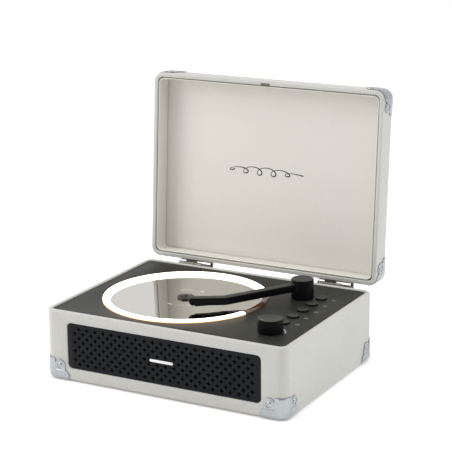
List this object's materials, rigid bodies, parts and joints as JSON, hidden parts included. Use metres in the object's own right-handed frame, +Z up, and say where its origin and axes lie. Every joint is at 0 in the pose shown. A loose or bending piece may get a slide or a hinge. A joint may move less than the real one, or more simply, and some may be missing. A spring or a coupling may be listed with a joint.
{
  "type": "suitcase record player",
  "caption": "Covered case with a hinged lid, a lit round platter with a tonearm, push buttons, a knob and a front loudspeaker grille.",
  "frame": {"origin": "middle of the footprint with the lid open, on the surface that the feet stand on", "axes": "+Z up, +Y towards the hinged rear, the grille faces -Y, +X to the right of the grille"},
  "size_m": [0.3524, 0.3228, 0.3621],
  "materials": {
    "white_leatherette": "satin grained",
    "lid_lining": "matt",
    "chrome": "polished",
    "nickel_steel": "plated",
    "deck_satin": "satin",
    "black_satin": "satin",
    "grille_black": "satin",
    "platter_mirror": "mirror",
    "ring_light": "lit diffuser",
    "ring_copper": "gloss",
    "rubber": "matt",
    "circuit_board": "board",
    "brass": "turned",
    "fibreboard": "stained fibreboard"
  },
  "bodies": {
    "root": {"case_shell": "white_leatherette", "bottom_panel": "fibreboard", "foot_front_left": "rubber", "foot_front_right": "rubber", "foot_rear_left": "rubber", "foot_rear_right": "rubber", "case_corner_front_left": "chrome", "case_corner_front_right": "chrome", "case_corner_rear_left": "chrome", "case_corner_rear_right": "chrome", "grille_panel": "grille_black", "speaker_left": "black_satin", "speaker_right": "black_satin", "main_board": "circuit_board", "control_board": "circuit_board", "rear_socket_panel": "black_satin", "dc_socket": "black_satin", "headphone_socket": "black_satin", "line_out_socket": "brass", "deck_plate": "deck_satin", "light_ring": "ring_light", "light_ring_cover": "ring_copper", "led_strip": "circuit_board", "platter_well": "black_satin", "spindle_bush": "brass", "motor": "nickel_steel", "drive_belt": "rubber", "tonearm_base": "black_satin", "volume_pot": "nickel_steel", "indicator_lens": "black_satin", "hinge_base_leaf_left": "nickel_steel", "hinge_base_leaf_right": "nickel_steel", "hinge_pin_left": "nickel_steel", "hinge_pin_right": "nickel_steel"},
    "lid": {"lid_shell": "white_leatherette", "lid_lining": "lid_lining", "lid_catch_plate": "nickel_steel", "lid_corner_front_left": "chrome", "lid_corner_front_right": "chrome", "lid_corner_rear_left": "chrome", "lid_corner_rear_right": "chrome", "hinge_lid_leaf_left": "nickel_steel", "hinge_lid_leaf_right": "nickel_steel"},
    "platter": {"platter_disc": "platter_mirror", "platter_drive_rim": "black_satin", "platter_hub": "nickel_steel"},
    "pulley": {"motor_pulley": "brass"},
    "tonearm_swivel": {"tonearm_turret": "black_satin", "tonearm_pivot_pin": "nickel_steel"},
    "tonearm": {"tonearm_bar": "black_satin", "cartridge": "black_satin", "stylus": "nickel_steel"},
    "knob": {"volume_knob": "black_satin"},
    "button_power": {"button_power": "deck_satin"},
    "button_light": {"button_light": "deck_satin"},
    "button_source": {"button_source": "deck_satin"},
    "button_previous": {"button_previous": "deck_satin"},
    "button_next": {"button_next": "deck_satin"}
  },
  "joints": [
    {"name": "lid_hinge", "type": "hinge", "parent": "root", "child": "lid", "pos_m": [0, 0.10811, 0.0937], "axis": [1, 0, 0], "range_deg": [0, 94.1]},
    {"name": "platter_spin", "type": "hinge", "parent": "root", "child": "platter", "pos_m": [-0.038, -0.02969, 0.0927], "axis": [0, 0, 1], "continuous": true},
    {"name": "motor_pulley_spin", "type": "hinge", "parent": "root", "child": "pulley", "pos_m": [0.004, 0.04306, 0.0873], "axis": [0, 0, 1], "continuous": true},
    {"name": "tonearm_swing", "type": "hinge", "parent": "root", "child": "tonearm_swivel", "pos_m": [0.102, 0.03681, 0.1105], "axis": [0, 0, 1], "range_deg": [-3, 40.5]},
    {"name": "tonearm_lift", "type": "hinge", "parent": "tonearm_swivel", "child": "tonearm", "pos_m": [0.102, 0.03681, 0.1105], "axis": [-0.7536, 0.6574, 0], "range_deg": [0, 3]},
    {"name": "volume_turn", "type": "hinge", "parent": "root", "child": "knob", "pos_m": [0.1276, -0.10729, 0.103], "axis": [0, 0, 1], "range_deg": [-150, 150]},
    {"name": "power_press", "type": "slide", "parent": "root", "child": "button_power", "axis": [0, 0, -1], "range_m": [0, 0.001], "stiffness_N_per_m": 800, "springref_m": -0.001},
    {"name": "light_press", "type": "slide", "parent": "root", "child": "button_light", "axis": [0, 0, -1], "range_m": [0, 0.001], "stiffness_N_per_m": 800, "springref_m": -0.001},
    {"name": "source_press", "type": "slide", "parent": "root", "child": "button_source", "axis": [0, 0, -1], "range_m": [0, 0.001], "stiffness_N_per_m": 800, "springref_m": -0.001},
    {"name": "previous_press", "type": "slide", "parent": "root", "child": "button_previous", "axis": [0, 0, -1], "range_m": [0, 0.001], "stiffness_N_per_m": 800, "springref_m": -0.001},
    {"name": "next_press", "type": "slide", "parent": "root", "child": "button_next", "axis": [0, 0, -1], "range_m": [0, 0.001], "stiffness_N_per_m": 800, "springref_m": -0.001}
  ],
  "couplings": [
    {"joint": "motor_pulley_spin", "follows": "platter_spin", "ratio": 10.333}
  ]
}
